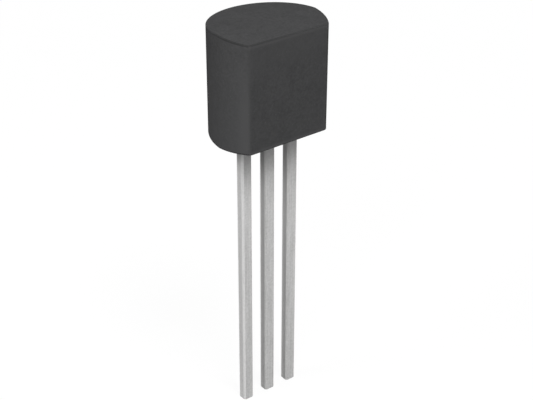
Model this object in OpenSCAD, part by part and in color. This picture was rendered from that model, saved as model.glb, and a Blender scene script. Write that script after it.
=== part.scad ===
// Three-lead transistor: a stamped lead frame carries a silicon die and two bond wires,
// and an epoxy body, round at the back and flat at the front, is moulded around them.
// The middle lead runs down the Z axis, the underside of the body crosses that axis at z = 0,
// the leads point down and the flat face looks along -Y. Sizes are in millimetres.

/* [Moulded body] */
// Diameter of the round side
body_d = 5.17; // [4.4:0.01:5.6]
// Depth from the flat face to the round back
body_depth = 4.16; // [3.6:0.01:4.8]
// Height along the parting line, in the plane of the leads
body_h = 5.18; // [4.4:0.01:6.4]
// Draft of the end faces on both sides of the parting line, in degrees
end_draft = 4; // [1:0.5:6]
// Radius of the two upright edges beside the flat face
corner_r = 0.22; // [0.05:0.01:0.3]

/* [Leads] */
// Distance between the centres of neighbouring leads
lead_pitch = 1.27; // [1.15:0.01:1.4]
// Width of a lead
lead_w = 0.53; // [0.4:0.01:0.6]
// Thickness of the sheet that the leads are stamped from
lead_t = 0.48; // [0.36:0.01:0.6]
// Length of a lead below the body
lead_l = 14.05; // [3:0.05:27]
// Radius of a lead's long edges
lead_edge_r = 0.1; // [0.03:0.01:0.15]
// Chamfer round a lead's cut tip
tip_chamfer = 0.02; // [0.01:0.01:0.1]

/* [Lead frame inside the body] */
// Height of the die flag's lower edge above the underside of the body
flag_z = 1.7; // [1.2:0.05:2]
// Width of the die flag
flag_w = 1.4; // [1:0.05:1.6]
// Height of the die flag
flag_h = 1.9; // [1.4:0.05:2.4]
// Height over which the collector lead widens into its flag
flag_shoulder_h = 0.35; // [0.2:0.05:0.6]
// Height of a bond post, which stands level with the die
post_h = 1.2; // [0.8:0.05:1.6]
// Height over which an outer lead widens into its post
post_shoulder_h = 0.2; // [0.1:0.05:0.4]
// How far a post stands out past its lead on the side away from the flag
post_lip = 0.24; // [0.1:0.02:0.4]
// Gap stamped between the flag and a post
frame_gap = 0.3; // [0.2:0.02:0.4]
// Corner chamfer at the upper ends of the flag and the posts
frame_chamfer = 0.15; // [0.05:0.01:0.25]

/* [Die and bond wires] */
// Side of the square silicon die
die_side = 0.5; // [0.4:0.02:0.8]
// Thickness of the die
die_t = 0.2; // [0.1:0.01:0.3]
// Thickness of the layer that fixes the die to the flag
attach_t = 0.03; // [0.02:0.005:0.06]
// How far that layer spreads past the die's edges
attach_spread = 0.06; // [0.02:0.01:0.1]
// Offset of a bond pad from the die's centre, both across and upwards
pad_offset = 0.11; // [0.07:0.01:0.16]
// Diameter of a bond wire
wire_d = 0.05; // [0.04:0.005:0.06]
// Diameter of the ball bond on the die
ball_d = 0.12; // [0.09:0.01:0.15]
// Height of the ball bond
ball_h = 0.04; // [0.02:0.005:0.06]
// Straight rise of the wire above its ball bond
neck_h = 0.1; // [0.04:0.01:0.2]
// Radius of the bend at the top of the wire's loop
loop_r = 0.1; // [0.06:0.01:0.15]
// Length of the stitch bond on a post
stitch_l = 0.18; // [0.14:0.01:0.24]
// Width of the stitch bond
stitch_w = 0.09; // [0.07:0.01:0.12]
// Thickness of the stitch bond
stitch_t = 0.03; // [0.02:0.005:0.04]

/* [Hidden] */
$fn = 96;

// Extra length by which a cutting shape passes through what it cuts
overrun = 0.4;

// The emitter side is at the left of the flat face and the base side at its right
emitter_side = -1;
base_side = 1;

// Body: distance of the flat from the parting plane, and rise of an end face per millimetre of depth
flat_dist = body_depth - body_d / 2;
end_slope = tan(end_draft);

// Rounds beside the flat: they touch it and reach a hair past the round side, which trims them
corner_reach = 0.001;
corner_y = corner_r - flat_dist;
corner_x = sqrt((body_d / 2 - corner_r + corner_reach) ^ 2 - corner_y ^ 2);

// Lead frame: its front face carries the die, and the posts stand level with it
frame_front_y = -lead_t / 2;
die_z = flag_z + flag_h / 2;
post_in_x = flag_w / 2 + frame_gap;
post_out_x = lead_pitch + lead_w / 2 + post_lip;
post_bottom_z = die_z - post_h / 2;
post_top_z = die_z + post_h / 2;

// Wire loop, in a plane with u running from the die pad to the post and v rising off the frame's face:
// a straight neck, a bend about (loop_r, neck_top_v), and a run on the tangent from the bend to the post,
// with its slope taken to a thousandth of a degree
die_top_v = attach_t + die_t;
neck_top_v = die_top_v + ball_h + neck_h;
bond_u = (post_in_x + post_out_x) / 2 - pad_offset;
bend_to_bond = norm([bond_u - loop_r, neck_top_v]);
run_l = sqrt(bend_to_bond ^ 2 - loop_r ^ 2);
tangent_slope = atan2(neck_top_v, bond_u - loop_r) + asin(loop_r / bend_to_bond);
run_slope = round(tangent_slope * 1000) / 1000;

// Round-edged rectangle about the origin
module rounded_rect(w, h, r) {
    square([w - 2 * r, h], center = true);
    square([w, h - 2 * r], center = true);
    for (x = [-1, 1], y = [-1, 1])
        translate([x * (w / 2 - r), y * (h / 2 - r)])
            circle(r);
}

// Plate of the lead frame's sheet, from an outline of x and z
module stamped_plate(outline) {
    rotate([90, 0, 0])
        linear_extrude(lead_t, center = true)
            polygon(outline);
}

// Straight part of a lead, from its chamfered tip up to the height where its head begins
module lead_shank(top_z) {
    difference() {
        translate([0, 0, -lead_l])
            linear_extrude(lead_l + top_z)
                rounded_rect(lead_w, lead_t, lead_edge_r);
        for (side = [-1, 1]) {
            translate([side * lead_w / 2, 0, -lead_l])
                rotate([0, 45, 0])
                    cube([tip_chamfer * sqrt(2), lead_t + overrun, tip_chamfer * sqrt(2)], center = true);
            translate([0, side * lead_t / 2, -lead_l])
                rotate([45, 0, 0])
                    cube([lead_w + overrun, tip_chamfer * sqrt(2), tip_chamfer * sqrt(2)], center = true);
        }
    }
}

// Outer lead on one side of the row, with its bond post
module outer_lead(side) {
    shoulder_z = post_bottom_z - post_shoulder_h;
    translate([side * lead_pitch, 0, 0])
        lead_shank(shoulder_z);
    stamped_plate([
        [side * (lead_pitch - lead_w / 2), shoulder_z],
        [side * (lead_pitch + lead_w / 2), shoulder_z],
        [side * post_out_x, post_bottom_z],
        [side * post_out_x, post_top_z - frame_chamfer],
        [side * (post_out_x - frame_chamfer), post_top_z],
        [side * (post_in_x + frame_chamfer), post_top_z],
        [side * post_in_x, post_top_z - frame_chamfer],
        [side * post_in_x, post_bottom_z]
    ]);
}

// Middle lead with the flag that carries the die
module flag_lead() {
    shoulder_z = flag_z - flag_shoulder_h;
    flag_top_z = flag_z + flag_h;
    lead_shank(shoulder_z);
    stamped_plate([
        [-lead_w / 2, shoulder_z],
        [lead_w / 2, shoulder_z],
        [flag_w / 2, flag_z],
        [flag_w / 2, flag_top_z - frame_chamfer],
        [flag_w / 2 - frame_chamfer, flag_top_z],
        [-flag_w / 2 + frame_chamfer, flag_top_z],
        [-flag_w / 2, flag_top_z - frame_chamfer],
        [-flag_w / 2, flag_z]
    ]);
}

// Wire from the ball bond on the die to the stitch bond on a post, in the plane of u and v
module wire_loop() {
    translate([0, die_top_v, 0])
        rotate([-90, 0, 0])
            cylinder(d = ball_d, h = ball_h);
    translate([0, die_top_v + ball_h, 0])
        rotate([-90, 0, 0])
            cylinder(d = wire_d, h = neck_h);
    translate([loop_r, neck_top_v, 0]) {
        rotate([0, 0, 90 - run_slope])
            rotate_extrude(angle = 90 + run_slope)
                translate([loop_r, 0])
                    circle(d = wire_d);
        difference() {
            rotate([0, 0, -run_slope])
                translate([0, loop_r, 0])
                    rotate([0, 90, 0])
                        cylinder(d = wire_d, h = run_l + overrun);
            translate([0, -neck_top_v - overrun, -stitch_w / 2])
                cube([bond_u + overrun, overrun, stitch_w]);
        }
    }
    translate([bond_u - stitch_l / 2, 0, -stitch_w / 2])
        cube([stitch_l, stitch_t, stitch_w]);
}

// The loop set on the lead frame's front face, towards the post on one side
module bond_wire(side) {
    translate([side * pad_offset, frame_front_y, die_z + side * pad_offset])
        rotate([180, side < 0 ? 180 : 0, 0])
            wire_loop();
}

// Level section of the body: a circle cut by the flat, with the flat's two corners rounded
module body_section() {
    corner_top_y = corner_y * body_d / (body_d - 2 * corner_r);
    intersection() {
        circle(d = body_d);
        union() {
            translate([-body_d / 2 - overrun, corner_top_y])
                square([body_d + 2 * overrun, body_d]);
            translate([-corner_x, -flat_dist])
                square([2 * corner_x, flat_dist]);
            for (side = [-1, 1])
                translate([side * corner_x, corner_y])
                    circle(corner_r);
        }
    }
}

// Body before anything is moulded in: its section between four end faces drafted from the parting plane
module body_blank() {
    front_y = -flat_dist - overrun;
    back_y = body_d / 2 + overrun;
    intersection() {
        linear_extrude(body_h)
            body_section();
        rotate([90, 0, 90])
            linear_extrude(body_d + 2 * overrun, center = true)
                polygon([
                    [front_y, -front_y * end_slope],
                    [0, 0],
                    [back_y, back_y * end_slope],
                    [back_y, body_h - back_y * end_slope],
                    [0, body_h],
                    [front_y, body_h + front_y * end_slope]
                ]);
    }
}

module emitter_lead() {
    color("#b8b7b3") outer_lead(emitter_side);
}

module collector_lead() {
    color("#b8b7b3") flag_lead();
}

module base_lead() {
    color("#b8b7b3") outer_lead(base_side);
}

module die_attach() {
    attach_side = die_side + 2 * attach_spread;
    color("#c9c7c0")
        translate([-attach_side / 2, frame_front_y - attach_t, die_z - attach_side / 2])
            cube([attach_side, attach_t, attach_side]);
}

module silicon_die() {
    color("#6d6f78")
        translate([-die_side / 2, frame_front_y - die_top_v, die_z - die_side / 2])
            cube([die_side, die_t, die_side]);
}

module emitter_wire() {
    color("#d4af4e") bond_wire(emitter_side);
}

module base_wire() {
    color("#d4af4e") bond_wire(base_side);
}

// Epoxy body, moulded tight around everything that the lead frame carries
module moulded_body() {
    color("#424244")
        difference() {
            body_blank();
            emitter_lead();
            collector_lead();
            base_lead();
            die_attach();
            silicon_die();
            emitter_wire();
            base_wire();
        }
}

moulded_body();
emitter_lead();
collector_lead();
base_lead();
die_attach();
silicon_die();
emitter_wire();
base_wire();
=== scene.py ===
import math
import bpy
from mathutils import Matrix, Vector


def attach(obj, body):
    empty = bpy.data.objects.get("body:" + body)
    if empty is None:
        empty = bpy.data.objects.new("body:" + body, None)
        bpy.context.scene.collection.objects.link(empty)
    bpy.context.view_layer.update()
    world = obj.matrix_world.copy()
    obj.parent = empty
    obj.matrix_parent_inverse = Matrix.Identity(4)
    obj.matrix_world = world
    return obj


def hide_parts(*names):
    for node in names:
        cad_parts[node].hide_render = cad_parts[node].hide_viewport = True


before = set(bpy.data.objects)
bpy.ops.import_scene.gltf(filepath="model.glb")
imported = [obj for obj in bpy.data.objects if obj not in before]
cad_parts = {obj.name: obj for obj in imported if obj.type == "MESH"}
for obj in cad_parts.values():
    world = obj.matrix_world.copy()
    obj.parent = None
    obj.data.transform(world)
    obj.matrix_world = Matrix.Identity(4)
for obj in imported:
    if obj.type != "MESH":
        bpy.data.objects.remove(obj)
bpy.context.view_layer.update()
print("frame loaded, nodes:", ", ".join(sorted(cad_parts)))

mm = 0.001                      # trees and sizes are in millimetres, the scene is in metres
perMetre = 1000.0
mergeReach = 1e-4               # points closer than this become one
quarterTurn = math.radians(90)
noiseRange = (0.3, 0.7)         # where most values of a noise lie


# Node helpers, for geometry and shader trees alike

def plug(tree, socket, value):
    if isinstance(value, bpy.types.NodeSocket):
        tree.links.new(value, socket)
    elif isinstance(value, (list, tuple)) and value and isinstance(value[0], bpy.types.NodeSocket):
        for part in value:
            tree.links.new(part, socket)
    else:
        socket.default_value = value


def add(tree, kind, inputs=None, **settings):
    made = tree.nodes.new(kind)
    for name, value in settings.items():
        setattr(made, name, value)
    for name, value in (inputs or {}).items():
        plug(tree, made.inputs[name], value)
    return made


def calc(tree, operation, *values, clamp=False):
    made = add(tree, "ShaderNodeMath", operation=operation, use_clamp=clamp)
    for socket, value in zip(made.inputs, values):
        plug(tree, socket, value)
    return made.outputs[0]


def total(tree, first, *others):
    for other in others:
        first = calc(tree, "ADD", first, other)
    return first


def product(tree, first, *others):
    for other in others:
        first = calc(tree, "MULTIPLY", first, other)
    return first


def minus(tree, first, second):
    return calc(tree, "SUBTRACT", first, second)


def magnitude(tree, value):
    return calc(tree, "ABSOLUTE", value)


def weighted(tree, values, shares):
    return total(tree, *[product(tree, value, share) for value, share in zip(values, shares)])


def longSide(tree, first, second):
    # of a right-angled triangle with these two sides
    return calc(tree, "SQRT", total(tree, product(tree, first, first), product(tree, second, second)))


def spread(tree, value, low, high, toLow=0.0, toHigh=1.0):
    return add(tree, "ShaderNodeMapRange", {"Value": value, "From Min": low, "From Max": high,
                                            "To Min": toLow, "To Max": toHigh}, clamp=True).outputs[0]


def xyz(tree, x=0.0, y=0.0, z=0.0):
    return add(tree, "ShaderNodeCombineXYZ", {"X": x, "Y": y, "Z": z}).outputs[0]


def split(tree, vector):
    return add(tree, "ShaderNodeSeparateXYZ", {0: vector}).outputs


# Geometry tree helpers

def newShapeTree(name, sizes):
    tree = bpy.data.node_groups.new(name, "GeometryNodeTree")
    tree.interface.new_socket("Geometry", in_out="OUTPUT", socket_type="NodeSocketGeometry")
    for label, value in sizes.items():
        kind = "NodeSocketInt" if isinstance(value, int) else "NodeSocketFloat"
        tree.interface.new_socket(label, in_out="INPUT", socket_type=kind)
    tree.interface.new_socket("Material", in_out="INPUT", socket_type="NodeSocketMaterial")
    size = add(tree, "NodeGroupInput").outputs
    return tree, size


def closeShapeTree(tree, size, shape):
    inMetres = add(tree, "GeometryNodeTransform", {"Geometry": shape, "Scale": (mm, mm, mm)})
    real = add(tree, "GeometryNodeRealizeInstances", {"Geometry": inMetres.outputs[0]})
    finished = add(tree, "GeometryNodeSetMaterial",
                   {"Geometry": real.outputs[0], "Material": size["Material"]})
    add(tree, "NodeGroupOutput", {"Geometry": finished.outputs[0]})


def merge(tree, shape):
    return add(tree, "GeometryNodeMergeByDistance",
               {"Geometry": shape, "Distance": mergeReach}).outputs[0]


def closedLoop(tree, curve):
    return add(tree, "GeometryNodeSetSplineCyclic", {"Geometry": curve, "Cyclic": True}).outputs[0]


def chain(tree, curves):
    # curves that meet end to end become one
    joined = add(tree, "GeometryNodeJoinGeometry", {"Geometry": curves})
    edges = add(tree, "GeometryNodeCurveToMesh", {"Curve": joined.outputs[0]})
    return add(tree, "GeometryNodeMeshToCurve", {"Mesh": merge(tree, edges.outputs[0])}).outputs[0]


def cyclicOutline(tree, points):
    # closed polygon in the XY plane through the given corner sockets
    line = add(tree, "GeometryNodeMeshLine", {"Count": len(points)})
    pick = add(tree, "GeometryNodeIndexSwitch", data_type="VECTOR")
    while len(pick.index_switch_items) < len(points):
        pick.index_switch_items.new()
    plug(tree, pick.inputs[0], add(tree, "GeometryNodeInputIndex").outputs[0])
    for number, point in enumerate(points):
        plug(tree, pick.inputs[number + 1], point)
    placed = add(tree, "GeometryNodeSetPosition",
                 {"Geometry": line.outputs[0], "Position": pick.outputs[0]})
    curve = add(tree, "GeometryNodeMeshToCurve", {"Mesh": placed.outputs[0]})
    return closedLoop(tree, curve.outputs[0])


def prism(tree, outline, height):
    # closed prism from an outline in the XY plane, upwards by height
    face = add(tree, "GeometryNodeFillCurve", {"Curve": outline}, mode="NGONS").outputs[0]
    raised = add(tree, "GeometryNodeExtrudeMesh",
                 {"Mesh": face, "Offset": (0.0, 0.0, 1.0), "Offset Scale": height, "Individual": False},
                 mode="FACES")
    lowerFace = add(tree, "GeometryNodeFlipFaces", {"Mesh": face}).outputs[0]
    both = add(tree, "GeometryNodeJoinGeometry", {"Geometry": [raised.outputs[0], lowerFace]})
    return merge(tree, both.outputs[0])


def solidsTogether(tree, solids, operation):
    return add(tree, "GeometryNodeMeshBoolean", {"Mesh 2": solids},
               operation=operation, solver="EXACT").outputs[0]


def sharpenCorners(tree, shape, angle):
    # slivers where solids were joined are closed, then faces are smooth with edges past angle kept crisp
    smooth = add(tree, "GeometryNodeSetShadeSmooth",
                 {"Geometry": merge(tree, shape), "Shade Smooth": True}, domain="FACE")
    bend = add(tree, "GeometryNodeInputMeshEdgeAngle").outputs["Unsigned Angle"]
    sharp = calc(tree, "GREATER_THAN", bend, math.radians(angle))
    return add(tree, "GeometryNodeSetShadeSmooth",
               {"Geometry": smooth.outputs[0], "Selection": sharp, "Shade Smooth": False},
               domain="EDGE").outputs[0]


def emptyObject(name):
    made = bpy.data.objects.new(name, bpy.data.meshes.new(name))
    bpy.context.scene.collection.objects.link(made)
    return made


def wearTree(piece, tree, sizes, material):
    shaper = piece.modifiers.new(tree.name, "NODES")
    shaper.node_group = tree
    values = dict(sizes, Material=material)
    for item in tree.interface.items_tree:
        if item.in_out == "INPUT" and item.name in values:
            shaper[item.identifier] = values[item.name]


def freeze(piece):
    # the evaluated shape becomes the piece's own plain mesh
    bpy.context.view_layer.update()
    evaluated = piece.evaluated_get(bpy.context.evaluated_depsgraph_get())
    mesh = bpy.data.meshes.new_from_object(evaluated)
    mesh.name = piece.name
    piece.modifiers.clear()
    old = piece.data
    piece.data = mesh
    bpy.data.meshes.remove(old)


def breakEdges(piece, name, radius, steps):
    edge = piece.modifiers.new(name, "BEVEL")
    edge.limit_method = "ANGLE"
    edge.angle_limit = math.radians(40)
    edge.width = radius * mm
    edge.segments = steps
    return edge


# Material helpers

def newMaterial(name):
    material = bpy.data.materials.new(name)
    material.use_nodes = True
    tree = material.node_tree
    tree.nodes.clear()
    shader = add(tree, "ShaderNodeBsdfPrincipled")
    add(tree, "ShaderNodeOutputMaterial", {"Surface": shader.outputs[0]})
    place = add(tree, "ShaderNodeTexCoord").outputs["Object"]
    inMm = add(tree, "ShaderNodeVectorMath", {0: place, "Scale": perMetre}, operation="SCALE").outputs[0]
    return material, tree, shader, inMm


def noise(tree, place, scale, detail, roughness):
    return add(tree, "ShaderNodeTexNoise", {"Vector": place, "Scale": scale, "Detail": detail,
                                            "Roughness": roughness}).outputs[0]


def stretch(tree, place, scale):
    return add(tree, "ShaderNodeVectorMath", {0: place, 1: scale}, operation="MULTIPLY").outputs[0]


def cells(tree, place, scale):
    # distance from a cell's middle, and a number that differs from cell to cell
    made = add(tree, "ShaderNodeTexVoronoi", {"Vector": place, "Scale": scale}, feature="F1").outputs
    return made["Distance"], add(tree, "ShaderNodeSeparateColor", {0: made["Color"]}).outputs[0]


def blendColours(tree, share, first, second):
    made = add(tree, "ShaderNodeMix", data_type="RGBA")
    plug(tree, made.inputs[0], share)
    plug(tree, made.inputs[6], first)
    plug(tree, made.inputs[7], second)
    return made.outputs[2]


def relieve(tree, shader, height, strength, depth):
    bump = add(tree, "ShaderNodeBump", {"Height": height, "Strength": strength, "Distance": depth * mm})
    plug(tree, shader.inputs["Normal"], bump.outputs[0])


def grey(level, warmth=0.0):
    return (level * (1 + warmth), level, level * (1 - warmth), 1.0)


def tinted(level, blue=1.02):
    return (level, level, level * blue, 1.0)


# Epoxy of the body; a noise is given by its scale, detail and roughness, and a range by the two values
# it runs between, with the shares at both ends where there are four numbers

bodySize = {
    "Round Diameter": 5.17,
    "Flat Distance": 1.575,
    "Corner Radius": 0.22,
    "Height": 5.18,
    "End Draft": math.radians(4),
    "Round Steps": 160,
    "Corner Steps": 9,
}
bodyEdge = {"radius": 0.03, "steps": 3}
epoxyLook = {
    "dark": tinted(0.041),
    "light": tinted(0.0598),
    "clouds": (0.7, 3.0, 0.5),
    "blotches": (3.6, 3.0, 0.6),
    "spots": (9.0, 2.0, 0.6),
    "mottleShares": (0.25, 0.3, 0.45),          # clouds, blotches, spots
    # painted light and a painted highlight: where the body is paler
    "pale": tinted(0.058),
    "paleRound": (0.025, 0.005),                # how far in the round side's skin begins
    "paleLow": (4.6, 0.9, 0.0, 0.4),
    "paleCorner": (2.14, -1.36),
    "paleCornerReach": (0.1, 0.5, 0.75, 0.0),
    "paleCornerHeight": (4.8, 2.2),
    "paleHigh": (3.2, 4.3, 0.0, 0.4),
    "paleUnderRim": (0.08, 0.24, 0.5, 0.0),
    "filler": grey(0.089),
    "fillerScale": 11.0,
    "fillerChosen": (0.86, 0.9),
    "fillerReach": (0.16, 0.26, 1.0, 0.0),
    "fillerShare": 0.35,
    # painted shade along the rims and the upright corners
    "rimPaintedShade": grey(0.0255),
    "rimWidth": (0.051, 0.085, 1.0, 0.0),
    "rimAcross": (-1.7, -1.1, 0.75, 0.21),      # strongest at the left
    "rimBack": (-0.6, 1.3, 1.0, 0.15),          # and at the front
    "rimRagged": 0.05,
    "flatFace": (-1.5, -1.56),
    "flatLine": (-1.475, -1.51),
    "flatLineDrop": (0.025, 0.045, 1.0, 0.0),
    "flatLineAcross": (-1.5, 0.5, 0.68, 0.48),
    "flatLineRagged": 0.08,
    "corner": (2.05, -1.545),
    "cornerWidth": (0.06, 0.11, 0.12, 0.0),
    # rubbed wear with a painted highlight along the rims
    "rubbedAndLit": tinted(0.0587),
    "rubbedAndLitWidth": (0.085, 0.14, 0.15, 0.0),
    "rubbedShine": 0.12,
    # painted highlight in a band below the rim on the flat
    "flatHighlight": tinted(0.066),
    "flatHighlightWidth": (0.11, 0.17, 0.6, 0.0),
    "grain": (16.0, 3.0, 0.6),
    "fineGrain": (42.0, 2.0, 0.5),
    "partingLine": (0.012, 0.035, 1.0, 0.0),
    "reliefShares": (0.7, 0.3, 0.9),            # grain, fine grain, parting line
    "reliefStrength": 0.6,
    "reliefDepth": 0.003,
    "roughness": (0.56, 0.68),
    "specular": 0.0,
}


def bodySpot(tree, place):
    # where a point lies on the body: its coordinates, and how far in it is from the ends and the sides
    x, y, z = split(tree, place)
    depth = magnitude(tree, y)
    fall = product(tree, depth, math.tan(bodySize["End Draft"]))
    toEnd = calc(tree, "MINIMUM", z, minus(tree, bodySize["Height"], z))
    fromRound = minus(tree, bodySize["Round Diameter"] / 2, longSide(tree, x, y))
    fromFlat = total(tree, y, bodySize["Flat Distance"])
    return {
        "x": x, "y": y, "z": z, "depth": depth,
        "fromEnd": minus(tree, toEnd, fall),
        "fromRound": fromRound,
        "fromSide": calc(tree, "MINIMUM", fromRound, fromFlat),
        "onFlat": spread(tree, y, *epoxyLook["flatFace"]),
    }


def fromUpright(tree, spot, corner):
    # distance to an upright line at either end of the flat
    return longSide(tree, minus(tree, magnitude(tree, spot["x"]), corner[0]), minus(tree, spot["y"], corner[1]))


def rimShadeAndRub(tree, spot, clouds, grain):
    # painted shade line and a rubbed strip with a painted highlight along the rims, the painted shade darkest
    # where the flat meets the round side at the left
    toRim = total(tree, calc(tree, "MAXIMUM", spot["fromEnd"], 0.0), calc(tree, "MAXIMUM", spot["fromSide"], 0.0))
    uneven = minus(tree, grain, 0.5)
    ragged = total(tree, toRim, product(tree, uneven, epoxyLook["rimRagged"]))
    line = product(tree, spread(tree, total(tree, spot["x"], clouds), *epoxyLook["rimAcross"]),
                   spread(tree, spot["y"], *epoxyLook["rimBack"]),
                   spread(tree, ragged, *epoxyLook["rimWidth"]))
    rubbedAndLit = spread(tree, ragged, *epoxyLook["rubbedAndLitWidth"])

    # along the flat the painted shade line lies on the end face, just behind the edge
    line = product(tree, line, minus(tree, 1.0, spot["onFlat"]))
    behind = total(tree, spot["y"], product(tree, uneven, epoxyLook["flatLineRagged"]))
    flatLine = product(tree, spread(tree, behind, *epoxyLook["flatLine"]),
                       spread(tree, spot["fromEnd"], *epoxyLook["flatLineDrop"]),
                       spread(tree, spot["x"], *epoxyLook["flatLineAcross"]))
    line = calc(tree, "MAXIMUM", line, flatLine)

    # the upright corners beside the flat have the same painted shade line, but fainter
    toCorner = fromUpright(tree, spot, epoxyLook["corner"])
    return calc(tree, "MAXIMUM", line, spread(tree, toCorner, *epoxyLook["cornerWidth"])), rubbedAndLit


def paintedPaleLight(tree, spot):
    # painted light: paler low on the round side, beside the upright corners and high on the flat, with a painted
    # highlight beside the corners
    toCorner = fromUpright(tree, spot, epoxyLook["paleCorner"])
    byCorner = product(tree, spread(tree, toCorner, *epoxyLook["paleCornerReach"]),
                       spread(tree, spot["z"], *epoxyLook["paleCornerHeight"]))
    onRound = product(tree, spread(tree, spot["fromRound"], *epoxyLook["paleRound"]),
                      total(tree, byCorner, spread(tree, spot["z"], *epoxyLook["paleLow"])))
    high = total(tree, spread(tree, spot["z"], *epoxyLook["paleHigh"]),
                 spread(tree, spot["fromEnd"], *epoxyLook["paleUnderRim"]))
    return calc(tree, "ADD", onRound, product(tree, spot["onFlat"], high), clamp=True)


def makeEpoxy():
    material, tree, shader, place = newMaterial("mouldedEpoxy")
    spot = bodySpot(tree, place)
    clouds, blotches, spots, grain, fineGrain = [
        noise(tree, place, *epoxyLook[name]) for name in ("clouds", "blotches", "spots", "grain", "fineGrain")]

    mottle = weighted(tree, (clouds, blotches, spots), epoxyLook["mottleShares"])
    colour = blendColours(tree, spread(tree, mottle, *noiseRange), epoxyLook["dark"], epoxyLook["light"])
    # painted light, paler where light falls on the body
    colour = blendColours(tree, paintedPaleLight(tree, spot), colour, epoxyLook["pale"])
    fromGrain, number = cells(tree, place, epoxyLook["fillerScale"])
    filler = product(tree, spread(tree, fromGrain, *epoxyLook["fillerReach"]),
                     spread(tree, number, *epoxyLook["fillerChosen"]), epoxyLook["fillerShare"])
    colour = blendColours(tree, filler, colour, epoxyLook["filler"])

    rimPaintedShade, rubbedAndLit = rimShadeAndRub(tree, spot, clouds, grain)
    # rubbed wear and painted highlight along the rims
    colour = blendColours(tree, rubbedAndLit, colour, epoxyLook["rubbedAndLit"])
    # painted highlight in a band below the rim on the flat
    flatHighlight = product(tree, spot["onFlat"], spread(tree, spot["fromEnd"], *epoxyLook["flatHighlightWidth"]))
    colour = blendColours(tree, flatHighlight, colour, epoxyLook["flatHighlight"])
    # painted shade line along the rims
    colour = blendColours(tree, rimPaintedShade, colour, epoxyLook["rimPaintedShade"])
    plug(tree, shader.inputs["Base Color"], colour)
    rough = spread(tree, grain, *noiseRange, *epoxyLook["roughness"])
    plug(tree, shader.inputs["Roughness"], minus(tree, rough, product(tree, rubbedAndLit, epoxyLook["rubbedShine"])))
    shader.inputs["Specular IOR Level"].default_value = epoxyLook["specular"]

    # the mould halves met in the plane of the leads
    parting = spread(tree, spot["depth"], *epoxyLook["partingLine"])
    relief = weighted(tree, (grain, fineGrain, parting), epoxyLook["reliefShares"])
    relieve(tree, shader, relief, epoxyLook["reliefStrength"], epoxyLook["reliefDepth"])
    return material


tinLook = {
    "dull": grey(0.35, 0.006),
    "bright": grey(0.612, 0.004),
    "drawnStretch": (1.0, 1.0, 0.02),
    "drawn": (15.0, 3.0, 0.6),
    "broadStretch": (1.0, 1.0, 0.12),
    "broad": (7.0, 2.0, 0.5),
    "crystals": (9.0, 4.0, 0.65),
    "toneShares": (0.35, 0.2, 0.45),            # drawn lines, broad streaks, crystals
    "darkerTowardsTip": (-5.0, -13.0, 0.0, 0.06),        # towards the tip
    "pitch": 1.27,
    "sideSkin": (0.253, 0.263),
    "sideTop": (0.1, 0.0),
    "sideFoot": (-13.835, -12.835),
    # duller sheared sides, with painted shade between the leads and under the body
    "shearedAndShaded": grey(0.37, 0.004),
    "shadedSideOuter": (-5.0, -1.5, 0.6, 0.2),
    "shadedSideInner": (-3.5, -1.0, 0.6, 1.0),
    # rubbed wear with a painted highlight beside the long edges
    "wornAndLitStrip": (0.1, 0.15),
    "wornAndLitShare": 0.5,
    # painted shade on the leads below the body
    "underBodyShade": grey(0.3, 0.01),
    "underBodyShadeReach": (-2.4, 0.0, 0.0, 0.37),
    "underBodyShadeRagged": 0.6,
    "closeShade": grey(0.12, 0.01),
    "closeShadeReach": (-2.0, -0.5),
    "closeShadeCurve": 1.6,
    "closeShadeShare": 0.6,
    "closeShadeRagged": 0.2,
    # painted highlight on the outer long edges of the row
    "edge": grey(0.6, 0.003),
    "edgeHighlightReach": (0.41, 0.43, 0.0, 0.35),
    "cut": (0.33, 0.25, 0.19, 1.0),
    "cutReach": (-14.065, -14.035, 0.8, 0.0),
    "roughness": (0.36, 0.64, 0.5, 0.36),
    "metallic": 0.12,
    "specular": 0.15,
    "reliefShares": (0.7, 0.3),                 # drawn lines, crystals
    "reliefStrength": 0.5,
    "reliefDepth": 0.0016,
}


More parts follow.
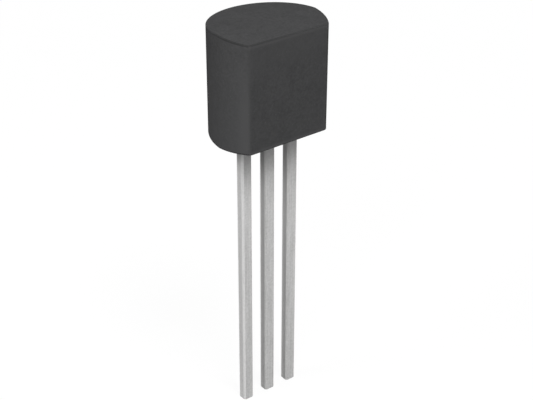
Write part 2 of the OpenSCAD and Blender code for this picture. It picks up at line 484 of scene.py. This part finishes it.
def makeTin():
    material, tree, shader, place = newMaterial("satinTinPlate")
    x, y, z = split(tree, place)
    aside, depth = magnitude(tree, x), magnitude(tree, y)
    drawn = noise(tree, stretch(tree, place, tinLook["drawnStretch"]), *tinLook["drawn"])   # along the lead
    broad = noise(tree, stretch(tree, place, tinLook["broadStretch"]), *tinLook["broad"])
    crystals = noise(tree, place, *tinLook["crystals"])
    tone = weighted(tree, (drawn, broad, crystals), tinLook["toneShares"])
    # darker towards the tip
    toneToTip = minus(tree, tone, spread(tree, z, *tinLook["darkerTowardsTip"]))
    plate = blendColours(tree, spread(tree, toneToTip, *noiseRange), tinLook["dull"], tinLook["bright"])

    # the sheared sides of a lead are duller than its rolled faces, with painted shade added: on the inner sides of
    # the row, between the leads, most of all near the body, and on the outer ones towards the tip
    pitch = tinLook["pitch"]
    across = magnitude(tree, calc(tree, "WRAP", x, pitch / 2, pitch / -2))
    onSide = product(tree, spread(tree, across, *tinLook["sideSkin"]), spread(tree, z, *tinLook["sideTop"]))
    outer = calc(tree, "GREATER_THAN", aside, pitch)
    shearedAndShaded = weighted(tree, (outer, minus(tree, 1.0, outer)),
                       (spread(tree, z, *tinLook["shadedSideOuter"]), spread(tree, z, *tinLook["shadedSideInner"])))
    strip = spread(tree, depth, *tinLook["wornAndLitStrip"])      # rubbed wear and painted highlight beside the long edges
    shearedAndShaded = product(tree, shearedAndShaded, onSide, spread(tree, z, *tinLook["sideFoot"]), minus(tree, 1.0, strip))
    plate = blendColours(tree, shearedAndShaded, plate, tinLook["shearedAndShaded"])
    # painted highlight with rubbed wear on the strips beside the long edges
    plate = blendColours(tree, product(tree, strip, onSide, tinLook["wornAndLitShare"]), plate, tinLook["edge"])

    # painted shade on the lead below the body, deepest close to it
    belowBody = total(tree, z, product(tree, broad, tinLook["underBodyShadeRagged"]))
    plate = blendColours(tree, spread(tree, belowBody, *tinLook["underBodyShadeReach"]), plate, tinLook["underBodyShade"])
    closeToBody = total(tree, z, product(tree, minus(tree, broad, 0.5), tinLook["closeShadeRagged"]))
    closeShade = calc(tree, "POWER", spread(tree, closeToBody, *tinLook["closeShadeReach"]), tinLook["closeShadeCurve"])
    plate = blendColours(tree, product(tree, closeShade, tinLook["closeShadeShare"]), plate, tinLook["closeShade"])

    # painted highlight on the outer long edges of the row, and the cut tips show bare metal
    outwards = total(tree, minus(tree, aside, pitch), depth)
    plate = blendColours(tree, spread(tree, outwards, *tinLook["edgeHighlightReach"]), plate, tinLook["edge"])
    plate = blendColours(tree, spread(tree, z, *tinLook["cutReach"]), plate, tinLook["cut"])
    plug(tree, shader.inputs["Base Color"], plate)
    plug(tree, shader.inputs["Roughness"], spread(tree, tone, *tinLook["roughness"]))
    shader.inputs["Metallic"].default_value = tinLook["metallic"]
    shader.inputs["Specular IOR Level"].default_value = tinLook["specular"]
    relief = weighted(tree, (drawn, crystals), tinLook["reliefShares"])
    relieve(tree, shader, relief, tinLook["reliefStrength"], tinLook["reliefDepth"])
    return material


pasteLook = {
    "dull": (0.50, 0.49, 0.46, 1.0),
    "flake": (0.72, 0.71, 0.68, 1.0),
    "flakeScale": 90.0,
    "flakeChosen": (0.45, 0.8),
    "lumps": (14.0, 3.0, 0.6),
    "metallic": 0.45,
    "roughness": (0.5, 0.75),
    "reliefStrength": 0.8,
    "reliefDepth": 0.004,
}


def makePaste():
    material, tree, shader, place = newMaterial("silverPaste")
    flake = spread(tree, cells(tree, place, pasteLook["flakeScale"])[1], *pasteLook["flakeChosen"])
    lumps = noise(tree, place, *pasteLook["lumps"])
    plug(tree, shader.inputs["Base Color"], blendColours(tree, flake, pasteLook["dull"], pasteLook["flake"]))
    plug(tree, shader.inputs["Roughness"], spread(tree, lumps, *noiseRange, *pasteLook["roughness"]))
    shader.inputs["Metallic"].default_value = pasteLook["metallic"]
    relieve(tree, shader, lumps, pasteLook["reliefStrength"], pasteLook["reliefDepth"])
    return material


siliconLook = {
    "crystal": (0.13, 0.135, 0.16, 1.0),
    "sawn": (0.21, 0.21, 0.22, 1.0),
    "sawnFrom": (-0.464, -0.46),                # behind the polished face
    "street": (0.07, 0.07, 0.08, 1.0),
    "streetFrom": (0.229, 0.232),
    "pad": (0.78, 0.78, 0.77, 1.0),
    "padOffset": 0.11,
    "padReach": (0.071, 0.075, 1.0, 0.0),
    "centreZ": 2.65,
    "metallic": 0.85,
    "film": (9.0, 2.0, 0.5),
    "roughness": (0.12, 0.24),
    "rougher": (0.35, 0.2),                     # sawn sides, pads
    "sawStretch": (1.0, 12.0, 1.0),
    "sawMarks": (20.0, 3.0, 0.5),
    "reliefStrength": 0.5,
    "reliefDepth": 0.002,
}


def makeSilicon():
    material, tree, shader, place = newMaterial("polishedSilicon")
    x, y, z = split(tree, place)
    rise = minus(tree, z, siliconLook["centreZ"])

    def squareAround(across, up):
        # distance from a centre on the polished face, the same all along a square
        return calc(tree, "MAXIMUM", magnitude(tree, minus(tree, x, across)),
                    magnitude(tree, minus(tree, rise, up)))

    offset = siliconLook["padOffset"]
    nearPad = calc(tree, "MINIMUM", squareAround(offset, offset), squareAround(-offset, -offset))
    pad = spread(tree, nearPad, *siliconLook["padReach"])
    street = spread(tree, squareAround(0.0, 0.0), *siliconLook["streetFrom"])
    side = spread(tree, y, *siliconLook["sawnFrom"])
    face = blendColours(tree, street, siliconLook["crystal"], siliconLook["street"])
    face = blendColours(tree, pad, face, siliconLook["pad"])
    plug(tree, shader.inputs["Base Color"], blendColours(tree, side, face, siliconLook["sawn"]))
    shader.inputs["Metallic"].default_value = siliconLook["metallic"]
    film = noise(tree, place, *siliconLook["film"])
    polished = spread(tree, film, *noiseRange, *siliconLook["roughness"])
    rougher = weighted(tree, (side, pad), siliconLook["rougher"])
    plug(tree, shader.inputs["Roughness"], total(tree, polished, rougher))
    sawMarks = noise(tree, stretch(tree, place, siliconLook["sawStretch"]), *siliconLook["sawMarks"])
    relieve(tree, shader, product(tree, sawMarks, side), siliconLook["reliefStrength"], siliconLook["reliefDepth"])
    return material


goldLook = {
    "deep": (0.72, 0.47, 0.15, 1.0),
    "pale": (0.86, 0.62, 0.26, 1.0),
    "drawnStretch": (0.15, 1.0, 1.0),
    "drawn": (120.0, 3.0, 0.5),
    "tarnish": (12.0, 2.0, 0.5),
    "toneShares": (0.6, 0.4),                   # drawn lines, tarnish
    "toneRange": (0.38, 0.62),
    "roughness": (0.36, 0.64, 0.36, 0.2),
    "metallic": 1.0,
    "reliefStrength": 0.3,
    "reliefDepth": 0.0006,
}


def makeGold():
    material, tree, shader, place = newMaterial("drawnGold")
    drawn = noise(tree, stretch(tree, place, goldLook["drawnStretch"]), *goldLook["drawn"])    # along the wire
    tarnish = noise(tree, place, *goldLook["tarnish"])
    tone = weighted(tree, (drawn, tarnish), goldLook["toneShares"])
    colour = blendColours(tree, spread(tree, tone, *goldLook["toneRange"]), goldLook["deep"], goldLook["pale"])
    plug(tree, shader.inputs["Base Color"], colour)
    plug(tree, shader.inputs["Roughness"], spread(tree, tone, *goldLook["roughness"]))
    shader.inputs["Metallic"].default_value = goldLook["metallic"]
    relieve(tree, shader, drawn, goldLook["reliefStrength"], goldLook["reliefDepth"])
    return material


epoxy = makeEpoxy()
tin = makeTin()
paste = makePaste()
silicon = makeSilicon()
gold = makeGold()
print("materials made:", ", ".join(made.name for made in (epoxy, tin, paste, silicon, gold)))


# Leads: a square bar with flattened edges, swept from its tip up into its stamped head

leadSize = {
    "Lead Width": 0.53,
    "Sheet Thickness": 0.48,
    "Lead Length": 14.05,
    "Edge Flat": 0.07,
    "Tip Chamfer": 0.02,
    "Head Chamfer": 0.15,
    "Edge Steps": 1,
}
leadHeads = {
    "emitter_lead": {"Lead X": -1.27, "Shoulder Z": 1.85, "Head Bottom": 2.05, "Head Top": 3.25,
                     "Head Left": -1.775, "Head Right": -1.0},
    "collector_lead": {"Lead X": 0.0, "Shoulder Z": 1.35, "Head Bottom": 1.7, "Head Top": 3.6,
                       "Head Left": -0.7, "Head Right": 0.7},
    "base_lead": {"Lead X": 1.27, "Shoulder Z": 1.85, "Head Bottom": 2.05, "Head Top": 3.25,
                  "Head Left": 1.0, "Head Right": 1.775},
}
leadCrispAngle = 40


def makeLeadTree():
    tree, size = newShapeTree("leadShape", dict(leadSize, **leadHeads["collector_lead"]))
    middle, thickness = size["Lead X"], size["Sheet Thickness"]
    halfWidth = product(tree, size["Lead Width"], 0.5)
    tip = product(tree, size["Lead Length"], -1.0)
    tipTop = total(tree, tip, size["Tip Chamfer"])
    joint = product(tree, total(tree, size["Shoulder Z"], size["Head Top"]), 0.5)

    # path up the lead, narrowed at its chamfered tip
    path = add(tree, "GeometryNodeMeshLine", {"Count": 3})
    level = add(tree, "GeometryNodeIndexSwitch", data_type="FLOAT")
    level.index_switch_items.new()
    index = add(tree, "GeometryNodeInputIndex").outputs[0]
    for socket, value in zip(level.inputs, (index, tip, tipTop, joint)):
        plug(tree, socket, value)
    along = add(tree, "GeometryNodeSetPosition",
                {"Geometry": path.outputs[0], "Position": xyz(tree, middle, 0.0, level.outputs[0])})
    curve = add(tree, "GeometryNodeMeshToCurve", {"Mesh": along.outputs[0]})
    squared = add(tree, "GeometryNodeSetCurveNormal",
                  {"Curve": curve.outputs[0], "Normal": (1.0, 0.0, 0.0)}, mode="FREE")
    narrow = minus(tree, 1.0, calc(tree, "DIVIDE", size["Tip Chamfer"], halfWidth))
    atTip = calc(tree, "LESS_THAN", index, 0.5)
    girth = add(tree, "ShaderNodeMix", {0: atTip, 2: 1.0, 3: narrow}, data_type="FLOAT").outputs[0]
    square = add(tree, "GeometryNodeCurvePrimitiveQuadrilateral",
                 {"Width": size["Lead Width"], "Height": thickness}, mode="RECTANGLE")
    section = add(tree, "GeometryNodeFilletCurve",
                  {"Curve": square.outputs[0], "Count": size["Edge Steps"], "Radius": size["Edge Flat"]},
                  mode="POLY")
    bar = add(tree, "GeometryNodeCurveToMesh",
              {"Curve": squared.outputs[0], "Profile Curve": section.outputs[0], "Scale": girth,
               "Fill Caps": True})

    # head, outlined in x and z and as thick as the sheet
    left, right = size["Head Left"], size["Head Right"]
    bottom, top, cut = size["Head Bottom"], size["Head Top"], size["Head Chamfer"]
    belowCorner = minus(tree, top, cut)
    corners = [
        (minus(tree, middle, halfWidth), size["Shoulder Z"]),
        (total(tree, middle, halfWidth), size["Shoulder Z"]),
        (right, bottom),
        (right, belowCorner),
        (minus(tree, right, cut), top),
        (total(tree, left, cut), top),
        (left, belowCorner),
        (left, bottom),
    ]
    outline = cyclicOutline(tree, [xyz(tree, x, y) for x, y in corners])
    upright = add(tree, "GeometryNodeTransform",
                  {"Geometry": prism(tree, outline, thickness), "Rotation": (quarterTurn, 0.0, 0.0),
                   "Translation": xyz(tree, 0.0, product(tree, thickness, 0.5), 0.0)})
    whole = solidsTogether(tree, [bar.outputs[0], upright.outputs[0]], "UNION")
    closeShapeTree(tree, size, sharpenCorners(tree, whole, leadCrispAngle))
    return tree


leadTree = makeLeadTree()
leads = {}
for name, head in leadHeads.items():
    lead = emptyObject(name.replace("_lead", "Lead"))
    wearTree(lead, leadTree, dict(leadSize, **head), tin)
    freeze(lead)
    leads[name] = lead
print("leads swept:", {lead.name: len(lead.data.polygons) for lead in leads.values()})


# Moulded body: D-shaped outline raised between end faces that fall away from the parting plane

def makeBodyTree():
    tree, size = newShapeTree("mouldedBodyShape", bodySize)
    radius = product(tree, size["Round Diameter"], 0.5)
    corner = size["Corner Radius"]
    cornerY = minus(tree, corner, size["Flat Distance"])
    reach = minus(tree, radius, corner)
    cornerX = calc(tree, "SQRT", minus(tree, product(tree, reach, reach), product(tree, cornerY, cornerY)))
    meet = calc(tree, "ARCTAN2", cornerY, cornerX)      # where a corner round runs into the round side
    cornerSweep = total(tree, meet, quarterTurn)
    farMeet = minus(tree, math.pi, meet)

    roundSide = add(tree, "GeometryNodeCurveArc",
                    {"Resolution": size["Round Steps"], "Radius": radius, "Start Angle": meet,
                     "Sweep Angle": minus(tree, farMeet, meet)}, mode="RADIUS")
    arcs = [roundSide.outputs[0]]
    for start, centreX in ((-quarterTurn, cornerX), (farMeet, product(tree, cornerX, -1.0))):
        turn = add(tree, "GeometryNodeCurveArc",
                   {"Resolution": size["Corner Steps"], "Radius": corner, "Start Angle": start,
                    "Sweep Angle": cornerSweep}, mode="RADIUS")
        moved = add(tree, "GeometryNodeTransform",
                    {"Geometry": turn.outputs[0], "Translation": xyz(tree, centreX, cornerY)})
        arcs.append(moved.outputs[0])
    column = prism(tree, closedLoop(tree, chain(tree, arcs)), size["Height"])

    # side profile with its four drafted ends, drawn in y and z
    backY = size["Round Diameter"]
    frontY = product(tree, backY, -1.0)
    fall = product(tree, backY, calc(tree, "TANGENT", size["End Draft"]))
    underTop = minus(tree, size["Height"], fall)
    ends = cyclicOutline(tree, [xyz(tree, y, z) for y, z in (
        (frontY, fall), (0.0, 0.0), (backY, fall),
        (backY, underTop), (0.0, size["Height"]), (frontY, underTop))])
    across = product(tree, size["Round Diameter"], 2.0)
    slab = add(tree, "GeometryNodeTransform",
               {"Geometry": prism(tree, ends, across), "Rotation": (quarterTurn, 0.0, quarterTurn),
                "Translation": xyz(tree, product(tree, across, -0.5))})
    blank = solidsTogether(tree, [column, slab.outputs[0]], "INTERSECT")
    closeShapeTree(tree, size, sharpenCorners(tree, blank, 180))
    return tree


body = emptyObject("mouldedBody")
wearTree(body, makeBodyTree(), bodySize, epoxy)
rim = breakEdges(body, "softRim", bodyEdge["radius"], bodyEdge["steps"])
rim.harden_normals = True       # the faces beside the rim keep their own direction
freeze(body)
print("body moulded:", len(body.data.polygons), "faces")


# Bond wires: a ball pressed onto the die, a bent loop and a stitch squeezed onto the post

wireSize = {
    "Wire Diameter": 0.05,
    "Ball Diameter": 0.12,
    "Ball Height": 0.04,
    "Neck Height": 0.1,
    "Loop Radius": 0.1,
    "Bond Reach": 1.2775,
    "Die Top": 0.23,
    "Stitch Length": 0.18,
    "Stitch Width": 0.09,
    "Stitch Thickness": 0.03,
    "Bend Steps": 24,
    "Round Steps": 20,
}
wireEnds = {
    "emitter_wire": {"Pad X": -0.11, "Pad Y": -0.24, "Pad Z": 2.54, "Turn": math.pi},
    "base_wire": {"Pad X": 0.11, "Pad Y": -0.24, "Pad Z": 2.76, "Turn": 0.0},
}
wireEndRise = 0.54          # where the run stops above the post, in wire diameters
wireCrispAngle = 50
ballMesh = {"Segments": 32, "Rings": 16, "Radius": 1.0}
ballPress = 0.7             # share of the ball's half height that is left between its two flats


def pressedBall(tree, middle, foot, length, height, width):
    # a ball flattened at its foot and top, on a plane of u and v with w across it
    ball = add(tree, "GeometryNodeMeshUVSphere", ballMesh)
    x, y, z = split(tree, add(tree, "GeometryNodeInputPosition").outputs[0])
    u = total(tree, middle, product(tree, x, product(tree, length, 0.5)))
    v = total(tree, foot, product(tree, height, spread(tree, z, -ballPress, ballPress)))
    w = product(tree, y, product(tree, width, -0.5))
    return add(tree, "GeometryNodeSetPosition",
               {"Geometry": ball.outputs["Mesh"], "Position": xyz(tree, u, v, w)}).outputs[0]


def makeWireTree():
    tree, size = newShapeTree("bondWireShape", dict(wireSize, **wireEnds["base_wire"]))
    bend, reach, dieTop = size["Loop Radius"], size["Bond Reach"], size["Die Top"]
    top = total(tree, dieTop, size["Ball Height"], size["Neck Height"])
    across = minus(tree, reach, bend)
    span = longSide(tree, across, top)
    slope = total(tree, calc(tree, "ARCTAN2", top, across),
                  calc(tree, "ARCSINE", calc(tree, "DIVIDE", bend, span)))

    # neck, bend and the run on the tangent from the bend to the post
    ballMiddle = total(tree, dieTop, product(tree, size["Ball Height"], 0.5))
    neck = add(tree, "GeometryNodeCurvePrimitiveLine",
               {"Start": xyz(tree, 0.0, ballMiddle), "End": xyz(tree, 0.0, top)})
    turn = add(tree, "GeometryNodeCurveArc",
               {"Resolution": size["Bend Steps"], "Radius": bend, "Start Angle": minus(tree, quarterTurn, slope),
                "Sweep Angle": total(tree, quarterTurn, slope)}, mode="RADIUS")
    turned = add(tree, "GeometryNodeTransform",
                 {"Geometry": turn.outputs[0], "Translation": xyz(tree, bend, top)})
    leaveU = total(tree, bend, product(tree, bend, calc(tree, "SINE", slope)))
    leaveV = total(tree, top, product(tree, bend, calc(tree, "COSINE", slope)))
    endV = product(tree, size["Wire Diameter"], wireEndRise)
    endU = minus(tree, reach, calc(tree, "DIVIDE", endV, calc(tree, "TANGENT", slope)))
    run = add(tree, "GeometryNodeCurvePrimitiveLine",
              {"Start": xyz(tree, leaveU, leaveV), "End": xyz(tree, endU, endV)})
    path = chain(tree, [neck.outputs[0], turned.outputs[0], run.outputs[0]])
    ring = add(tree, "GeometryNodeCurvePrimitiveCircle",
               {"Resolution": size["Round Steps"], "Radius": product(tree, size["Wire Diameter"], 0.5)},
               mode="RADIUS")
    loop = add(tree, "GeometryNodeCurveToMesh",
               {"Curve": path, "Profile Curve": ring.outputs[0], "Fill Caps": True})

    ball = pressedBall(tree, 0.0, dieTop, size["Ball Diameter"], size["Ball Height"], size["Ball Diameter"])
    stitch = pressedBall(tree, reach, 0.0, size["Stitch Length"], size["Stitch Thickness"], size["Stitch Width"])
    whole = solidsTogether(tree, [loop.outputs[0], ball, stitch], "UNION")
    placed = add(tree, "GeometryNodeTransform",
                 {"Geometry": whole, "Rotation": xyz(tree, math.pi, size["Turn"], 0.0),
                  "Translation": xyz(tree, size["Pad X"], size["Pad Y"], size["Pad Z"])})
    closeShapeTree(tree, size, sharpenCorners(tree, placed.outputs[0], wireCrispAngle))
    return tree


wireTree = makeWireTree()
wires = {}
for name, end in wireEnds.items():
    wire = emptyObject(name.replace("_wire", "Wire"))
    wearTree(wire, wireTree, dict(wireSize, **end), gold)
    freeze(wire)
    wires[name] = wire
print("wires bonded:", {wire.name: len(wire.data.polygons) for wire in wires.values()})


# Die and its attach layer: the CAD solids with their own surfaces and slightly broken edges

chips = {
    "die_attach": {"material": paste, "edge": 0.01, "steps": 3},
    "silicon_die": {"material": silicon, "edge": 0.004, "steps": 2},
}
for name, chip in chips.items():
    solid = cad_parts[name]
    solid.data.materials.clear()
    solid.data.materials.append(chip["material"])
    seam = solid.modifiers.new("closedSeams", "WELD")
    seam.merge_threshold = mergeReach * mm
    breakEdges(solid, "brokenEdges", chip["edge"], chip["steps"])
print("die set:", ", ".join(chips))


# Finished pieces

for name, lead in leads.items():
    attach(lead, "root")
    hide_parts(name)
for name, wire in wires.items():
    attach(wire, "root")
    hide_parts(name)
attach(body, "root")
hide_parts("moulded_body")


# Floor, light and camera

studio = {
    "floorZ": -14.05,
    "floorReach": 900.0,
    "floorPale": 0.82,
    "floorBounce": 0.2,
    "shadowShare": 0.08,
    "shadowReach": (35.0, 70.0),
    "lampDistance": 260,
}
lamps = {
    "leftHighLamp": {"azimuth": -102, "elevation": 42, "width": 110, "watts": 0.32, "shine": True},
    "leftLowLamp": {"azimuth": -90, "elevation": 5, "width": 110, "watts": 0.22, "shine": True},
    "cornerLamp": {"azimuth": -55, "elevation": 42, "width": 110, "watts": 0.25, "shine": True},
    "frontHighLamp": {"azimuth": -3, "elevation": 62, "width": 110, "watts": 0.445, "shine": True},
    "frontLowLamp": {"azimuth": 0, "elevation": 5, "width": 110, "watts": 0.26, "shine": True},
    "rightLamp": {"azimuth": 45, "elevation": 42, "width": 110, "watts": 0.1, "shine": True},
    "backLamp": {"azimuth": 137, "elevation": 3, "width": 160, "watts": 0.75, "shine": False},
}
shot = {
    "azimuth": -36.969,
    "elevation": 29.775,
    "distance": 55.762,
    "target": (-0.037, 0.0, -3.432),
    "focalPixels": 1233.0,
    "imageWidth": 533,
    "sensorWidth": 36.0,
    "clip": (1.0, 10000.0),
}


def direction(azimuth, elevation):
    a, e = math.radians(azimuth), math.radians(elevation)
    return Vector((math.sin(a) * math.cos(e), -math.cos(a) * math.cos(e), math.sin(e)))


def aim(made, back, place):
    # back is the direction that the lamp or camera turns its back to
    made.location = place * mm
    made.rotation_euler = back.to_track_quat("Z", "Y").to_euler()
    bpy.context.scene.collection.objects.link(made)


def whiteToEye(tree):
    # 1 for what the camera sees directly, in a reflection or through glass
    rays = add(tree, "ShaderNodeLightPath").outputs
    seen = calc(tree, "MAXIMUM", rays["Is Camera Ray"], rays["Is Glossy Ray"])
    return calc(tree, "MAXIMUM", seen, rays["Is Transmission Ray"])


def makeFloor():
    half = studio["floorReach"] * mm
    z = studio["floorZ"] * mm
    mesh = bpy.data.meshes.new("studioFloor")
    corners = [(-half, -half, z), (half, -half, z), (half, half, z), (-half, half, z)]
    mesh.from_pydata(corners, [], [(0, 1, 2, 3)])
    floor = bpy.data.objects.new("studioFloor", mesh)
    bpy.context.scene.collection.objects.link(floor)
    material = bpy.data.materials.new("paleFloor")
    material.use_nodes = True
    tree = material.node_tree
    tree.nodes.clear()
    white = whiteToEye(tree)
    tone = blendColours(tree, white, grey(studio["floorBounce"]), grey(studio["floorPale"]))
    paper = add(tree, "ShaderNodeBsdfDiffuse", {"Color": tone})
    glow = add(tree, "ShaderNodeEmission", {"Strength": 1.0})

    # paper takes the object's shadow nearby and turns plain white further out
    place = add(tree, "ShaderNodeTexCoord").outputs["Object"]
    away = add(tree, "ShaderNodeVectorMath", {0: place}, operation="LENGTH").outputs["Value"]
    near, far = studio["shadowReach"]
    paperShare = spread(tree, away, near * mm, far * mm, studio["shadowShare"], 0.0)
    share = product(tree, white, minus(tree, 1.0, paperShare))
    seen = add(tree, "ShaderNodeMixShader", {0: share, 1: paper.outputs[0], 2: glow.outputs[0]})

    # from below the floor isn't there
    below = add(tree, "ShaderNodeNewGeometry").outputs["Backfacing"]
    clear = add(tree, "ShaderNodeBsdfTransparent")
    sides = add(tree, "ShaderNodeMixShader", {0: below, 1: seen.outputs[0], 2: clear.outputs[0]})
    add(tree, "ShaderNodeOutputMaterial", {"Surface": sides.outputs[0]})
    mesh.materials.append(material)


def makeWorld():
    # white to the eye, and no light of its own on the object
    world = bpy.data.worlds.new("studioWorld")
    world.use_nodes = True
    tree = world.node_tree
    tree.nodes.clear()
    sky = add(tree, "ShaderNodeBackground", {"Color": (1.0, 1.0, 1.0, 1.0), "Strength": whiteToEye(tree)})
    add(tree, "ShaderNodeOutputWorld", {"Surface": sky.outputs[0]})
    bpy.context.scene.world = world


def makeLamp(name, lamp):
    data = bpy.data.lights.new(name, "AREA")
    data.shape = "DISK"
    data.size = lamp["width"] * mm
    data.energy = lamp["watts"]
    made = bpy.data.objects.new(name, data)
    made.visible_glossy = lamp["shine"]
    back = direction(lamp["azimuth"], lamp["elevation"])
    aim(made, back, back * studio["lampDistance"])


def makeCamera():
    data = bpy.data.cameras.new("photoCamera")
    data.sensor_width = shot["sensorWidth"]
    data.lens = shot["focalPixels"] * data.sensor_width / shot["imageWidth"]
    data.clip_start, data.clip_end = [edge * mm for edge in shot["clip"]]
    made = bpy.data.objects.new("photoCamera", data)
    back = direction(shot["azimuth"], shot["elevation"])
    aim(made, back, Vector(shot["target"]) + back * shot["distance"])
    bpy.context.scene.camera = made


makeFloor()
makeWorld()
for name, lamp in lamps.items():
    makeLamp(name, lamp)
makeCamera()
bpy.context.scene.view_settings.view_transform = "Standard"
print("studio lit by", ", ".join(lamps))
